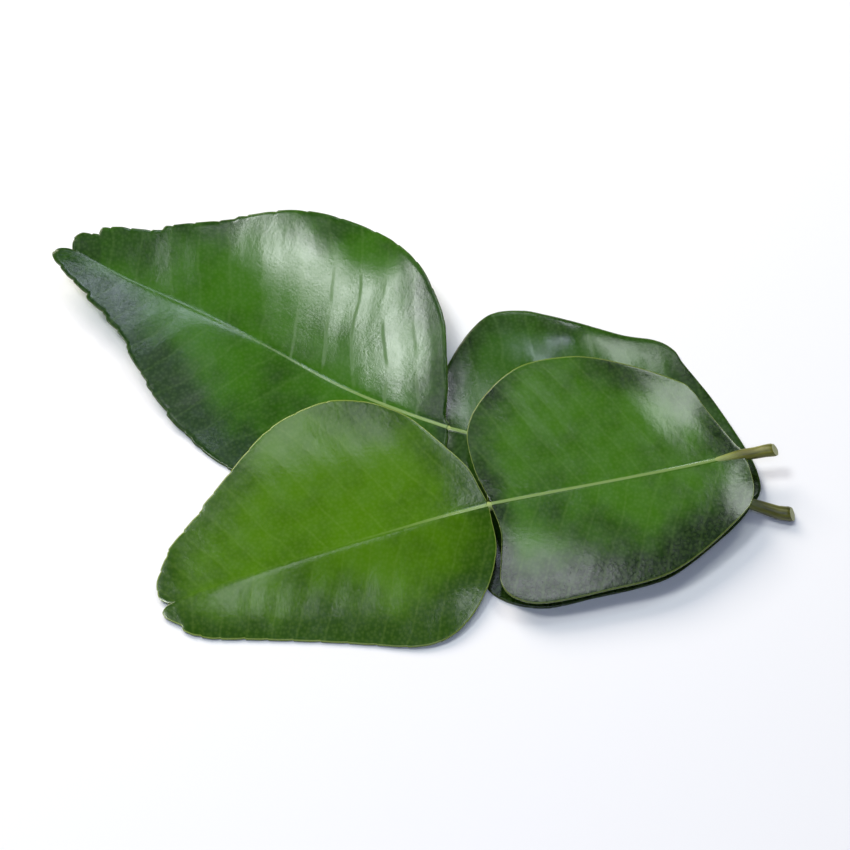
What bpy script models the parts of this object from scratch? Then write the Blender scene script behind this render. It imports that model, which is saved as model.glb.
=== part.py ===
"""Two winged lime leaves with short cut stalks, lying one across the other.

Each leaf is a broad blade, a leafy wing almost as large, and one stalk that runs
under both as their midrib. The lower leaf is called back, the upper one front.
"""
import math

import bmesh
import bpy
from mathutils import Vector

# All sizes below are in millimetres, and the model itself is in metres
MM = 0.001

# Thickness of the leaf tissue, and the gap kept between pieces that touch
SKIN = 0.75
GAP = 0.33

# The underside is pressed flat where it would reach the table
TABLE = 0.0
LOWEST_TOP = SKIN - 0.06

# Distance from the midrib at which the turn angles below are reached
TURN_SPAN = 20.0

# Half width of a leaf where it leaves its stalk
NECK = 0.8

# Grid of each leaf face: columns in one half, and rows along the midrib
BLADE_COLUMNS = 4
BLADE_ROWS = 58
WING_COLUMNS = 4
WING_ROWS = 34

# Colours as linear red, green and blue
BLADE_GREEN = (0.060, 0.140, 0.020)
WING_GREEN = (0.075, 0.165, 0.025)
STALK_GREEN = (0.160, 0.210, 0.040)


class Leaf:
    """A leaf face described flat, then bent into place.

    The margins are given flat, as (distance along the midrib, distance out from
    it). Each half leaves the midrib at its rise angle and bends by its turn angle
    over TURN_SPAN. Both angles have a value at the base, the middle and the tip.
    Each notch is (distance from the tip along the margin, depth, reach).
    """

    def __init__(self, midrib, start, end, far, near, rise_far, rise_near,
                 turn_far, turn_near, far_notches=(), near_notches=()):
        self.path = even_path([Vector(point) for point in midrib], 160)
        self.length = path_length(self.path)
        self.start = start
        self.end = end
        self.margin = {1: far, -1: near}
        self.rise = {1: rise_far, -1: rise_near}
        self.turn = {1: turn_far, -1: turn_near}
        self.notches = {1: far_notches, -1: near_notches}

    def midrib(self, along):
        """Point on the midrib, and the level direction out to the far side."""
        step = self.length / (len(self.path) - 1)
        index = min(max(int(along / step), 0), len(self.path) - 2)
        low = self.path[index]
        high = self.path[index + 1]
        point = low.lerp(high, along / step - index)
        before = self.path[max(index - 2, 0)]
        after = self.path[min(index + 3, len(self.path) - 1)]
        forward = after - before
        out = Vector((forward.y, -forward.x, 0.0)).normalized()
        if out.y < 0.0:
            out.negate()
        return point, out

    def place(self, along, across):
        """Bend one flat point into place. Across is positive on the far side."""
        point, out = self.midrib(along)
        side = 1 if across >= 0.0 else -1
        share = min(max(along / self.length, 0.0), 1.0)
        rise = math.radians(three_way(self.rise[side], share))
        bend = math.radians(three_way(self.turn[side], share)) / TURN_SPAN
        reach = abs(across)
        if abs(bend) < 1e-5:
            bend = 1e-5
        level = (math.sin(rise + bend * reach) - math.sin(rise)) / bend
        up = (math.cos(rise) - math.cos(rise + bend * reach)) / bend
        placed = point + out * (level * side) + Vector((0.0, 0.0, up))
        placed.z = max(placed.z, LOWEST_TOP)
        return placed

    def margin_points(self, side, rows):
        """Points along one margin from base to tip, with its notches cut in."""
        ends = [(self.start, NECK), *self.margin[side]]
        path = even_path([Vector((along, out, 0.0)) for along, out in ends], rows + 1)
        total = path_length(path)
        points = []
        for row, point in enumerate(path):
            before = path[max(row - 1, 0)]
            after = path[min(row + 1, rows)]
            forward = (after - before).normalized()
            outward = Vector((-forward.y, forward.x, 0.0))
            to_tip = total * (1.0 - row / rows)
            depth = notch_depth(self.notches[side], to_tip)
            points.append(point - outward * depth)
        return points


def even_path(points, count):
    """Smooth path through the points, as count points evenly spaced by length."""
    first = points[0] * 2.0 - points[1]
    last = points[-1] * 2.0 - points[-2]
    knots = [first, *points, last]
    fine = []
    steps = 24
    for index in range(1, len(knots) - 2):
        a, b, c, d = knots[index - 1:index + 3]
        for step in range(steps):
            t = step / steps
            fine.append((b * 2.0 + (c - a) * t + (a * 2.0 - b * 5.0 + c * 4.0 - d) * t ** 2
                         + (b * 3.0 - a - c * 3.0 + d) * t ** 3) * 0.5)
    fine.append(points[-1])
    total = path_length(fine)
    even = [fine[0]]
    walked = 0.0
    for low, high in zip(fine, fine[1:]):
        piece = (high - low).length
        while len(even) < count - 1 and len(even) * total / (count - 1) <= walked + piece:
            target = len(even) * total / (count - 1)
            even.append(low.lerp(high, (target - walked) / piece))
        walked += piece
    even.append(fine[-1])
    return even


def path_length(points):
    """Length of a path of points."""
    return sum((high - low).length for low, high in zip(points, points[1:]))


def three_way(values, share):
    """Smooth value along the leaf from its base, middle and tip values."""
    base, middle, tip = values
    return (base * (1.0 - share) * (1.0 - 2.0 * share) + middle * 4.0 * share * (1.0 - share)
            + tip * share * (2.0 * share - 1.0))


def notch_depth(notches, to_tip):
    """How far the margin is set in: a sudden step that fades out towards the tip."""
    depth = 0.0
    for place, full, reach in notches:
        past = place - to_tip
        if past > 0.0:
            depth += full * max(1.0 - past / reach, 0.0)
    return depth


def make_material(name, colour, roughness):
    """Plain material with one colour."""
    material = bpy.data.materials.new(name)
    material.use_nodes = True
    shader = material.node_tree.nodes["Principled BSDF"]
    shader.inputs["Base Color"].default_value = (*colour, 1.0)
    shader.inputs["Roughness"].default_value = roughness
    shader.inputs["Metallic"].default_value = 0.0
    material.diffuse_color = (*colour, 1.0)
    return material


def add_object(name, data, material, parent):
    """Put a mesh or curve in the sprig's collection."""
    item = bpy.data.objects.new(name, data)
    data.materials.append(material)
    SPRIG.objects.link(item)
    item.parent = parent
    return item


def leaf_face(name, leaf, columns, rows, material, parent):
    """Leaf face from a grid that is mapped onto the leaf and then thickened."""
    mesh = bpy.data.meshes.new(name)
    grid = bmesh.new()
    bmesh.ops.create_grid(grid, x_segments=2 * columns, y_segments=rows, size=1.0)
    edge = {side: leaf.margin_points(side, rows) for side in (1, -1)}
    for vert in grid.verts:
        row = round((vert.co.y + 1.0) / 2.0 * rows)
        side = 1 if vert.co.x >= 0.0 else -1
        reach = abs(vert.co.x)
        foot = leaf.start + (leaf.end - leaf.start) * row / rows
        along = foot + (edge[side][row].x - foot) * reach
        across = edge[side][row].y * reach * side
        vert.co = leaf.place(along, across) * MM
    bmesh.ops.remove_doubles(grid, verts=grid.verts[:], dist=0.05 * MM)
    bmesh.ops.triangulate(grid, faces=grid.faces[:])
    bmesh.ops.recalc_face_normals(grid, faces=grid.faces[:])
    if sum(face.normal.z for face in grid.faces) < 0.0:
        bmesh.ops.reverse_faces(grid, faces=grid.faces[:])
    grid.to_mesh(mesh)
    grid.free()
    item = add_object(name, mesh, material, parent)
    shell = item.modifiers.new("leaf tissue", "SOLIDIFY")
    shell.thickness = SKIN * MM
    shell.offset = -1.0
    press_on_table(item)
    for polygon in item.data.polygons:
        polygon.use_smooth = True
    return item


def press_on_table(item):
    """Keep the thickened mesh, with nothing of it lower than the table."""
    bpy.context.view_layer.update()
    evaluated = item.evaluated_get(bpy.context.evaluated_depsgraph_get())
    solid = bpy.data.meshes.new_from_object(evaluated)
    item.modifiers.clear()
    for vert in solid.vertices:
        vert.co.z = max(vert.co.z, TABLE)
    item.data = solid


def stalk(name, stub, wing, blade, radii, reach, material, parent):
    """Cut stalk that runs on as a rib under the wing and the blade.

    The radii are those at the cut end, the wing's base, the joint and the tip.
    The rib ends at the given share of the blade's length.
    """
    cut, base, joint, tip = radii
    route = []
    for point in stub:
        route.append((Vector(point), cut))
    steps = 14
    for step in range(steps):
        share = step / steps
        radius = base + (joint - base) * share
        route.append((under(wing, wing.start + (wing.end - wing.start) * share, radius), radius))
    for step in range(steps + 1):
        share = step / steps
        radius = joint + (tip - joint) * share
        route.append((under(blade, blade.start + blade.length * reach * share, radius), radius))
    curve = bpy.data.curves.new(name, "CURVE")
    curve.dimensions = "3D"
    curve.twist_mode = "Z_UP"
    curve.bevel_depth = MM
    curve.bevel_resolution = 2
    curve.use_fill_caps = True
    spline = curve.splines.new("POLY")
    spline.points.add(len(route) - 1)
    for spot, (point, radius) in zip(spline.points, route):
        spot.co = (*(point * MM), 1.0)
        spot.radius = radius
    spline.use_smooth = True
    return add_object(name, curve, material, parent)


def under(leaf, along, radius):
    """Centre of a rib of this radius just under the leaf's midrib."""
    point, _ = leaf.midrib(along)
    return point - Vector((0.0, 0.0, SKIN + GAP + radius))


BACK_WING = Leaf(
    midrib=((57.6, -14.6, 3.1), (38.1, -9.1, 3.0), (17.0, -3.3, 2.9), (4.1, 0.85, 2.87)),
    start=0.3,
    end=55.1,
    far=((-0.9, 3.0), (0.9, 7.6), (5.0, 13.0), (11.8, 20.5), (18.0, 26.3), (20.3, 28.7),
         (24.0, 29.8), (31.0, 29.0), (45.5, 29.4), (51.3, 28.9), (56.0, 26.2), (58.7, 20.2),
         (58.8, 11.2), (57.8, 6.0), (56.3, 2.4), (55.1, 0.8)),
    near=((0.9, 3.0), (3.4, 7.5), (9.8, 16.4), (15.8, 20.8), (22.4, 24.4), (30.4, 28.6),
          (37.2, 29.2), (41.4, 26.8), (44.4, 20.0), (48.8, 12.5), (52.9, 7.0), (54.4, 3.0),
          (55.1, 0.8)),
    rise_far=(-6, -10, -8),
    rise_near=(-7, -10, -8),
    turn_far=(5, 7, 6),
    turn_near=(5, 7, 6))

BACK_BLADE = Leaf(
    midrib=((6.8, -0.2, 2.9), (-4.5, 4.4, 2.8), (-17.3, 10.8, 2.7), (-30.2, 18.7, 3.0),
            (-41.4, 24.6, 4.0), (-54.6, 30.7, 5.4), (-65.7, 36.7, 6.8)),
    start=3.0,
    end=81.2,
    far=((4.3, 2.2), (5.8, 7.5), (9.4, 15.3), (13.0, 20.5), (21.0, 26.8), (30.0, 29.3),
         (38.9, 29.0), (48.4, 25.9), (59.5, 18.4), (70.9, 11.4), (77.9, 7.5), (81.2, 4.6),
         (82.4, 2.4), (81.2, 0.0)),
    near=((2.2, 2.5), (1.8, 7.0), (4.4, 12.8), (9.0, 16.8), (15.6, 20.4), (22.5, 22.8), (30.0, 24.0),
          (38.0, 23.6), (47.9, 21.5), (58.1, 16.4), (66.7, 10.2), (77.2, 5.9), (83.2, 3.4),
          (84.2, 1.8), (83.0, 0.6), (81.2, 0.0)),
    rise_far=(15, 11, 10),
    rise_near=(-7, -9, 2),
    turn_far=(0, 5, 3),
    turn_near=(4, 7, 0),
    far_notches=((8.5, 1.7, 4.0), (21.0, 0.9, 9.0), (35.0, 0.4, 9.0)),
    near_notches=((16.0, 0.7, 6.0), (21.5, 0.6, 6.0), (28.0, 0.6, 7.0), (36.5, 0.5, 7.0)))

FRONT_WING = Leaf(
    midrib=((56.4, -6.6, 6.8), (44.8, -9.4, 6.4), (23.6, -13.8, 6.1), (11.3, -16.4, 6.1)),
    start=0.3,
    end=45.8,
    far=((1.4, 3.0), (3.6, 9.4), (5.2, 14.6), (8.0, 17.4), (20.4, 23.6), (28.0, 25.4),
         (36.0, 24.8), (43.2, 20.1), (47.0, 14.6), (47.4, 8.0), (46.6, 3.4), (45.8, 0.8)),
    near=((0.0, 2.6), (0.6, 7.5), (4.2, 11.5), (17.5, 18.8), (30.5, 20.0), (41.0, 19.9),
          (45.8, 17.8), (47.4, 14.8), (46.6, 11.0), (45.4, 6.0), (45.8, 0.8)),
    rise_far=(3, 4, 4),
    rise_near=(-1, -1, -2),
    turn_far=(3, 3, 2),
    turn_near=(-4, -5, -6))

FRONT_BLADE = Leaf(
    midrib=((11.3, -16.4, 6.1), (2.6, -18.7, 5.7), (-4.3, -20.6, 5.1), (-14.8, -23.5, 4.1),
            (-28.6, -27.7, 2.7), (-38.9, -31.3, 1.7), (-43.3, -33.1, 1.3)),
    start=0.4,
    end=57.4,
    far=((0.9, 3.4), (2.0, 8.0), (5.8, 14.5), (9.4, 19.8), (14.0, 23.7), (19.2, 26.0),
         (24.6, 26.8), (34.0, 24.6), (45.3, 16.7), (54.8, 9.8), (58.5, 5.5), (59.6, 2.2),
         (58.6, 0.5), (57.4, 0.0)),
    near=((0.4, 2.6), (0.9, 8.0), (3.9, 13.9), (8.9, 19.1), (14.0, 21.4), (19.0, 21.2),
          (25.4, 19.1), (35.2, 15.5), (46.4, 11.5), (55.4, 7.8), (58.9, 3.6), (60.1, 1.4),
          (59.0, 0.3), (57.4, 0.0)),
    rise_far=(5, 3, 3),
    rise_near=(-14, -18, -6),
    turn_far=(5, 8, 4),
    turn_near=(8, 16, 6),
    far_notches=((12.0, 0.5, 6.0), (22.0, 0.4, 7.0)),
    near_notches=((8.0, 0.5, 5.0),))

# Cut ends of the stalks, from the cut to just before the wing's base
BACK_STUB = ((64.8, -16.2, 1.6), (62.4, -15.9, 1.5), (59.8, -15.2, 1.36))
FRONT_STUB = ((61.8, -6.2, 7.0), (60.4, -6.3, 6.4), (58.4, -6.5, 5.4))

# Remove what the scene starts with
for item in list(bpy.data.objects):
    bpy.data.objects.remove(item, do_unlink=True)

SPRIG = bpy.data.collections.new("lime leaf sprig")
bpy.context.scene.collection.children.link(SPRIG)

blade_green = make_material("blade green", BLADE_GREEN, 0.38)
wing_green = make_material("wing green", WING_GREEN, 0.38)
stalk_green = make_material("stalk green", STALK_GREEN, 0.5)

base_empty = bpy.data.objects.new("sprig origin", None)
SPRIG.objects.link(base_empty)

leaf_face("back_leaf_wing", BACK_WING, WING_COLUMNS, WING_ROWS, wing_green, base_empty)
leaf_face("back_leaf_blade", BACK_BLADE, BLADE_COLUMNS, BLADE_ROWS, blade_green, base_empty)
leaf_face("front_leaf_wing", FRONT_WING, WING_COLUMNS, WING_ROWS, wing_green, base_empty)
leaf_face("front_leaf_blade", FRONT_BLADE, BLADE_COLUMNS, BLADE_ROWS, blade_green, base_empty)
stalk("back_leaf_stalk", BACK_STUB, BACK_WING, BACK_BLADE, (1.3, 1.0, 0.85, 0.35), 0.9,
      stalk_green, base_empty)
stalk("front_leaf_stalk", FRONT_STUB, FRONT_WING, FRONT_BLADE, (1.2, 1.0, 0.85, 0.3), 0.85,
      stalk_green, base_empty)

# Move the whole sprig so that its origin is under the middle of its outline
bpy.context.view_layer.update()
depsgraph = bpy.context.evaluated_depsgraph_get()
corners = []
for item in SPRIG.objects:
    if item.type == "EMPTY":
        continue
    solid = bpy.data.meshes.new_from_object(item.evaluated_get(depsgraph))
    corners.extend(item.matrix_world @ vert.co for vert in solid.vertices)
    bpy.data.meshes.remove(solid)
low = Vector([min(corner[axis] for corner in corners) for axis in range(3)])
high = Vector([max(corner[axis] for corner in corners) for axis in range(3)])
base_empty.location = Vector((-(low.x + high.x) / 2.0, -(low.y + high.y) / 2.0, -low.z))
bpy.context.view_layer.update()
print("sprig size in mm:", [round((high[axis] - low[axis]) / MM, 1) for axis in range(3)])
print("moved by, in mm:", [round(value / MM, 3) for value in base_empty.location])
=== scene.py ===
# %% [markdown]
# Lime leaf sprig: two makrut lime leaves, picked and laid one across the other.
#
# Each leaf is a broad blade with a leafy wing behind it, almost as large, and a
# short cut stalk. Makrut lime is known for this double leaf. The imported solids
# give the sizes and the places, and this script dresses them: a thin waxy skin
# with sunken side veins, a pale midrib, and stalks with fresh cut ends.

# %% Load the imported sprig
import math
from functools import partial

import bpy
import numpy as np
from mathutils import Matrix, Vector


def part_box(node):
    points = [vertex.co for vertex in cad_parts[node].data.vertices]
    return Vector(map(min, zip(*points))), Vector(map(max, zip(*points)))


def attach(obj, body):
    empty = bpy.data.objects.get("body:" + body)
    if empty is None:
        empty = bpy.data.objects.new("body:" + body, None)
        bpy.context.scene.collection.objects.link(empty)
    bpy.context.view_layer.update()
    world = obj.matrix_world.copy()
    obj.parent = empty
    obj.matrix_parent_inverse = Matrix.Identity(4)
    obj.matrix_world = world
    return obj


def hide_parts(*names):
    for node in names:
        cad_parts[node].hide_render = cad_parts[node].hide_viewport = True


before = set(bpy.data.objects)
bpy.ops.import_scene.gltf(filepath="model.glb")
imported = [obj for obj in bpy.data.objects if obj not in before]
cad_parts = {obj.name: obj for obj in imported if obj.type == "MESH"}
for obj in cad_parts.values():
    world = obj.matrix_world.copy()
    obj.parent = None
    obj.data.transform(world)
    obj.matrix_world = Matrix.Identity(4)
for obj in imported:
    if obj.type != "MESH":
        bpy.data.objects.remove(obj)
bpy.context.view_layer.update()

print("nodes:", sorted(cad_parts))

# %% [markdown]
# Two small helpers are used all through. Leaf sizes are easiest to think of in
# millimetres, while Blender works in metres. Colours are written as hex values,
# as a paint program shows them, and have to be turned to linear light.

# %% Millimetres and colours
MM = 0.001


def colour(hex_value):
    """Turn an sRGB hex colour into the linear values that shaders work with."""
    linear = []
    for start in (1, 3, 5):
        level = int(hex_value[start:start + 2], 16) / 255
        linear.append(level / 12.92 if level <= 0.04045 else ((level + 0.055) / 1.055) ** 2.4)
    return (*linear, 1.0)


print("leaf green in linear light:", [round(level, 3) for level in colour("#4f7a1c")])

# %% [markdown]
# A leaf is drawn flat first and then bent. Flat, every point has a distance along
# the midrib and a distance across it, positive on the far side. The margin is a
# smooth path through a few such points.
#
# Bending is simple geometry. Each half leaves the midrib at a rise angle and then
# turns evenly, so a cross section is an arc. The angles change gently from the
# base to the tip. This could be sculpted by hand, but a rule keeps the thin skin
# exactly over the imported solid, and lets every vein follow the leaf.

# %% Smooth paths and gentle changes
def smooth_path(points, count):
    """Smooth path through the points, as count points evenly spaced by length."""
    knots = np.array(points, dtype=float)
    knots = np.vstack([2 * knots[0] - knots[1], knots, 2 * knots[-1] - knots[-2]])
    t = np.linspace(0, 1, 24, endpoint=False)[:, None]
    runs = []
    for a, b, c, d in zip(knots, knots[1:], knots[2:], knots[3:]):
        runs.append((2 * b + (c - a) * t + (2 * a - 5 * b + 4 * c - d) * t ** 2
                     + (3 * b - a - 3 * c + d) * t ** 3) / 2)
    fine = np.vstack(runs + [knots[-2:-1]])
    walked = np.concatenate([[0], np.cumsum(np.linalg.norm(np.diff(fine, axis=0), axis=1))])
    even = np.linspace(0, walked[-1], count)
    path = np.stack([np.interp(even, walked, fine[:, axis]) for axis in range(fine.shape[1])], 1)
    return path, walked[-1]


def three_way(values, share):
    """Smooth value along the leaf from its base, middle and tip values."""
    base, middle, tip = values
    return (base * (1 - share) * (1 - 2 * share) + middle * 4 * share * (1 - share)
            + tip * share * (2 * share - 1))


path, length = smooth_path(((0, 0), (10, 4), (20, 0)), 5)
print("a path of", round(length, 1), "mm:", path.round(1).tolist())

# %% [markdown]
# The margin of a makrut lime leaf is crenate: low rounded teeth with a small nick
# between them, strongest near the tip, where a few are deep steps. The deepest
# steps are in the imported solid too. The fine nicks are added here, by rule.
#
# A leaf is never quite even. It has shallow dents and bumps where it grew against
# others, its rim rolls down a little, and the fold at its midrib is rounded. Each
# dent is a soft bell: its place along and across, how wide it is both ways, and
# its depth, less than nought for a bump. Where the sheet would sink into the
# table it settles on it softly instead.

# %% A leaf that knows its own shape
TURN_SPAN = 20.0
NECK = 0.8
TISSUE = 0.45
TOP_BELOW_SOLID = 0.2
LOWEST_TOP = 0.69
SOFT_LANDING = 0.12
STEP_RUN = 1.0
ROLL_WIDTH = 0.9
CREASE_SOFT = 0.7
MIDRIB_POINTS = 160
TOOTH_AT_TIP = 3.4
TOOTH_GROWTH = 0.045
TOOTH_OFFSET = 0.3
NICK_SHARE = 0.45
LEAST_NICK = 0.15
PLAIN_TIP = 4.0
PLAIN_BASE = 8.0
SMALLEST_BEND = 1e-5
SMALL_VEINS = 3.0


class Leaf:
    """A leaf face described flat, then bent into place. All sizes are in mm."""

    def __init__(self, midrib, start, end, far, near, rise_far, rise_near,
                 turn_far, turn_near, far_notches=(), near_notches=(), nick=0.05,
                 dents=(), roll=0.02):
        self.path, self.length = smooth_path(midrib, MIDRIB_POINTS)
        ahead = np.vstack([self.path[2:], self.path[-1:], self.path[-1:]])
        behind = np.vstack([self.path[:1], self.path[:1], self.path[:-2]])
        out = np.stack([(ahead - behind)[:, 1], -(ahead - behind)[:, 0]], 1)
        out *= np.where(out[:, 1:] < 0, -1, 1)
        self.out = out / np.linalg.norm(out, axis=1, keepdims=True)
        self.start = start
        self.end = end
        self.edge = {1: far, -1: near}
        self.rise = {1: rise_far, -1: rise_near}
        self.turn = {1: turn_far, -1: turn_near}
        self.notches = {1: far_notches, -1: near_notches}
        self.nick = nick
        self.dents = dents
        self.roll = roll

    def midrib(self, along):
        """Points on the midrib, and the level directions out to the far side."""
        step = self.length / (len(self.path) - 1)
        index = np.clip((along / step).astype(int), 0, len(self.path) - 2)
        part = (along / step - index)[:, None]
        point = self.path[index] * (1 - part) + self.path[index + 1] * part
        part = np.clip(part, 0, 1)
        return point, self.out[index] * (1 - part) + self.out[index + 1] * part

    def place(self, along, across, rim=ROLL_WIDTH):
        """Bend flat points into place, given how far they are from the margin."""
        point, out = self.midrib(along)
        share = np.clip(along / self.length, 0, 1)
        far = across >= 0
        rise = np.radians(np.where(far, three_way(self.rise[1], share),
                                   three_way(self.rise[-1], share)))
        bend = np.radians(np.where(far, three_way(self.turn[1], share),
                                   three_way(self.turn[-1], share))) / TURN_SPAN
        bend = np.where(np.abs(bend) < SMALLEST_BEND, SMALLEST_BEND, bend)
        reach = np.abs(across)
        soft_reach = np.hypot(across, CREASE_SOFT) - CREASE_SOFT
        level = (np.sin(rise + bend * reach) - np.sin(rise)) / bend
        placed = point.copy()
        placed[:, :2] += out * (level * np.sign(across))[:, None]
        placed[:, 2] += (np.cos(rise) - np.cos(rise + bend * soft_reach)) / bend
        for at_along, at_across, wide_along, wide_across, depth in self.dents:
            far_off = ((along - at_along) / wide_along) ** 2
            far_off += ((across - at_across) / wide_across) ** 2
            placed[:, 2] -= depth * np.exp(-far_off)
        placed[:, 2] -= self.roll * np.clip(1 - rim / ROLL_WIDTH, 0, 1) ** 2
        height = (placed[:, 2] - LOWEST_TOP) / SOFT_LANDING
        placed[:, 2] = LOWEST_TOP + SOFT_LANDING * np.logaddexp(0, height)
        return placed

    def margin(self, side, rows):
        """Points along one margin from base to tip, with its teeth cut in."""
        edge, total = smooth_path(((self.start, NECK), *self.edge[side]), rows + 1)
        forward = np.gradient(edge, axis=0)
        forward /= np.linalg.norm(forward, axis=1, keepdims=True)
        outward = np.stack([-forward[:, 1], forward[:, 0]], 1)
        to_tip = total * (1 - np.arange(rows + 1) / rows)
        depth = np.zeros(rows + 1)
        for place, full, reach in self.notches[side]:
            past = place - to_tip
            step = np.clip(past / STEP_RUN, 0, 1)
            depth += full * step * step * (3 - 2 * step) * np.clip(1 - past / reach, 0, 1)
        tooth = TOOTH_AT_TIP + TOOTH_GROWTH * to_tip
        turns = np.cumsum(np.full(rows + 1, total / rows) / tooth) + TOOTH_OFFSET * side
        nicks = np.clip(1 - (turns % 1) / NICK_SHARE, 0, 1) ** 2
        fading = np.clip(1 + LEAST_NICK - to_tip / total, LEAST_NICK, 1)
        fading *= np.clip(to_tip / PLAIN_TIP, 0, 1) * np.clip((total - to_tip) / PLAIN_BASE, 0, 1)
        depth += self.nick * nicks * fading
        return edge - outward * depth[:, None]


print("a leaf face is", TISSUE, "mm thick here, inside a solid of 0.75 mm")

# %% [markdown]
# These are the four leaf faces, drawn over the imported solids. The back leaf lies on
# the table, and its wing runs on a little under its blade, so that no gap shows at
# the joint. The front leaf rests across it, with its wing held up.
#
# The last two dents of the back wing take its end under its blade, and carry the
# front leaf's rib on a bump. The others were placed by looking at the sheen. A
# slope that changes by one degree moves a reflection a long way, so even a dent
# half a millimetre deep shows.
#
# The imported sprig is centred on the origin, and MOVED shifts the drawing to it.

# %% The four leaf faces
BACK_WING = Leaf(
    midrib=((57.6, -14.6, 3.1), (38.1, -9.1, 3.0), (17.0, -3.3, 2.9), (4.1, 0.85, 2.87)),
    start=0.3,
    end=55.1,
    far=((-0.9, 3.0), (0.9, 7.6), (5.0, 13.0), (11.8, 20.5), (18.0, 26.3), (20.3, 28.7),
         (24.0, 29.8), (31.0, 29.0), (45.5, 29.4), (51.3, 28.9), (56.0, 26.2), (58.7, 20.2),
         (60.0, 11.4), (59.5, 6.0), (58.0, 2.6), (56.4, 0.8)),
    near=((0.9, 3.0), (3.4, 7.5), (9.8, 16.4), (15.8, 20.8), (22.4, 24.4), (30.4, 28.6),
          (37.2, 29.2), (41.4, 26.8), (44.4, 20.0), (48.8, 12.5), (54.4, 7.0), (56.0, 3.0),
          (56.4, 0.8)),
    rise_far=(-6, -10, -8),
    rise_near=(-7, -10, -8),
    turn_far=(5, 7, 6),
    turn_near=(5, 7, 6),
    dents=((38.0, 27.0, 12.0, 8.0, -1.5), (56.5, -5.0, 2.5, 4.5, 0.6),
           (16.5, 0.0, 6.0, 5.0, -0.65)),
    roll=0.07)

BACK_BLADE = Leaf(
    midrib=((6.8, -0.2, 2.9), (-4.5, 4.4, 2.8), (-17.3, 10.8, 2.7), (-30.2, 18.7, 3.0),
            (-41.4, 24.6, 4.0), (-54.6, 30.7, 5.4), (-65.7, 36.7, 6.8)),
    start=3.0,
    end=81.2,
    far=((4.3, 2.2), (5.8, 7.5), (9.4, 15.3), (13.0, 20.5), (21.0, 26.8), (30.0, 29.3),
         (38.9, 29.0), (48.4, 25.9), (59.5, 18.4), (70.9, 11.4), (77.9, 7.5), (81.2, 4.6),
         (82.4, 2.4), (81.2, 0.0)),
    near=((2.2, 2.5), (1.8, 7.0), (4.4, 12.8), (9.0, 16.8), (15.6, 20.4), (22.5, 22.8),
          (30.0, 24.0), (38.0, 23.6), (47.9, 21.5), (58.1, 16.4), (66.7, 10.2), (77.2, 5.9),
          (83.2, 3.4), (84.2, 1.8), (83.0, 0.6), (81.2, 0.0)),
    rise_far=(15, 11, 10),
    rise_near=(-7, -9, 2),
    turn_far=(0, 5, 3),
    turn_near=(4, 7, 0),
    far_notches=((8.5, 1.7, 4.0), (21.0, 0.9, 9.0), (35.0, 0.4, 9.0)),
    near_notches=((16.0, 0.7, 6.0), (21.5, 0.6, 6.0), (28.0, 0.6, 7.0), (36.5, 0.5, 7.0),
                  (44.0, 0.4, 7.0), (52.0, 0.35, 8.0)),
    nick=0.3,
    dents=((56.0, 14.0, 14.0, 14.0, 0.95), (22.0, 5.0, 9.0, 10.0, 0.4),
           (36.0, 32.0, 11.0, 7.0, 1.0)),
    roll=0.09)

FRONT_WING = Leaf(
    midrib=((56.4, -6.6, 6.8), (44.8, -9.4, 6.4), (23.6, -13.8, 6.1), (11.3, -16.4, 6.1)),
    start=0.3,
    end=45.8,
    far=((1.4, 3.0), (3.6, 9.4), (5.2, 14.6), (8.0, 17.4), (20.4, 23.6), (28.0, 25.4),
         (36.0, 24.8), (43.2, 20.1), (47.0, 14.6), (47.4, 8.0), (46.6, 3.4), (45.8, 0.8)),
    near=((0.0, 2.6), (0.6, 7.5), (4.2, 11.5), (17.5, 18.8), (30.5, 20.0), (41.0, 19.9),
          (45.8, 17.8), (47.4, 14.8), (46.6, 11.0), (45.4, 6.0), (45.8, 0.8)),
    rise_far=(3, 4, 4),
    rise_near=(-1, -1, -2),
    turn_far=(3, 3, 2),
    turn_near=(-4, -5, -6),
    dents=((3.0, 16.0, 8.0, 9.0, 1.0), (47.0, -14.0, 10.0, 12.0, 0.35),
           (-1.5, -8.0, 5.0, 6.0, 0.6)))

FRONT_BLADE = Leaf(
    midrib=((11.3, -16.4, 6.1), (2.6, -18.7, 5.7), (-4.3, -20.6, 5.1), (-14.8, -23.5, 4.1),
            (-28.6, -27.7, 2.7), (-38.9, -31.3, 1.7), (-43.3, -33.1, 1.3)),
    start=0.4,
    end=57.4,
    far=((0.9, 3.4), (2.0, 8.0), (5.8, 14.5), (9.4, 19.8), (14.0, 23.7), (19.2, 26.0),
         (24.6, 26.8), (34.0, 24.6), (45.3, 16.7), (54.8, 9.8), (58.5, 5.5), (59.6, 2.2),
         (58.6, 0.5), (57.4, 0.0)),
    near=((0.4, 2.6), (0.9, 8.0), (3.9, 13.9), (8.9, 19.1), (14.0, 21.4), (19.0, 21.2),
          (25.4, 19.1), (35.2, 15.5), (46.4, 11.5), (55.4, 7.8), (58.9, 3.6), (60.1, 1.4),
          (59.0, 0.3), (57.4, 0.0)),
    rise_far=(5, 3, 3),
    rise_near=(-14, -18, -6),
    turn_far=(5, 8, 4),
    turn_near=(8, 16, 6),
    far_notches=((12.0, 0.5, 6.0), (22.0, 0.4, 7.0)),
    near_notches=((8.0, 0.5, 5.0),),
    nick=0.22,
    dents=((20.0, 10.0, 16.0, 14.0, 0.45), (4.0, -12.0, 10.0, 10.0, 0.5)))

MOVED = (1.962, -1.515)

for title, leaf in (("back blade", BACK_BLADE), ("front blade", FRONT_BLADE)):
    print(title, "midrib is", round(leaf.length, 1), "mm long")

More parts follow.
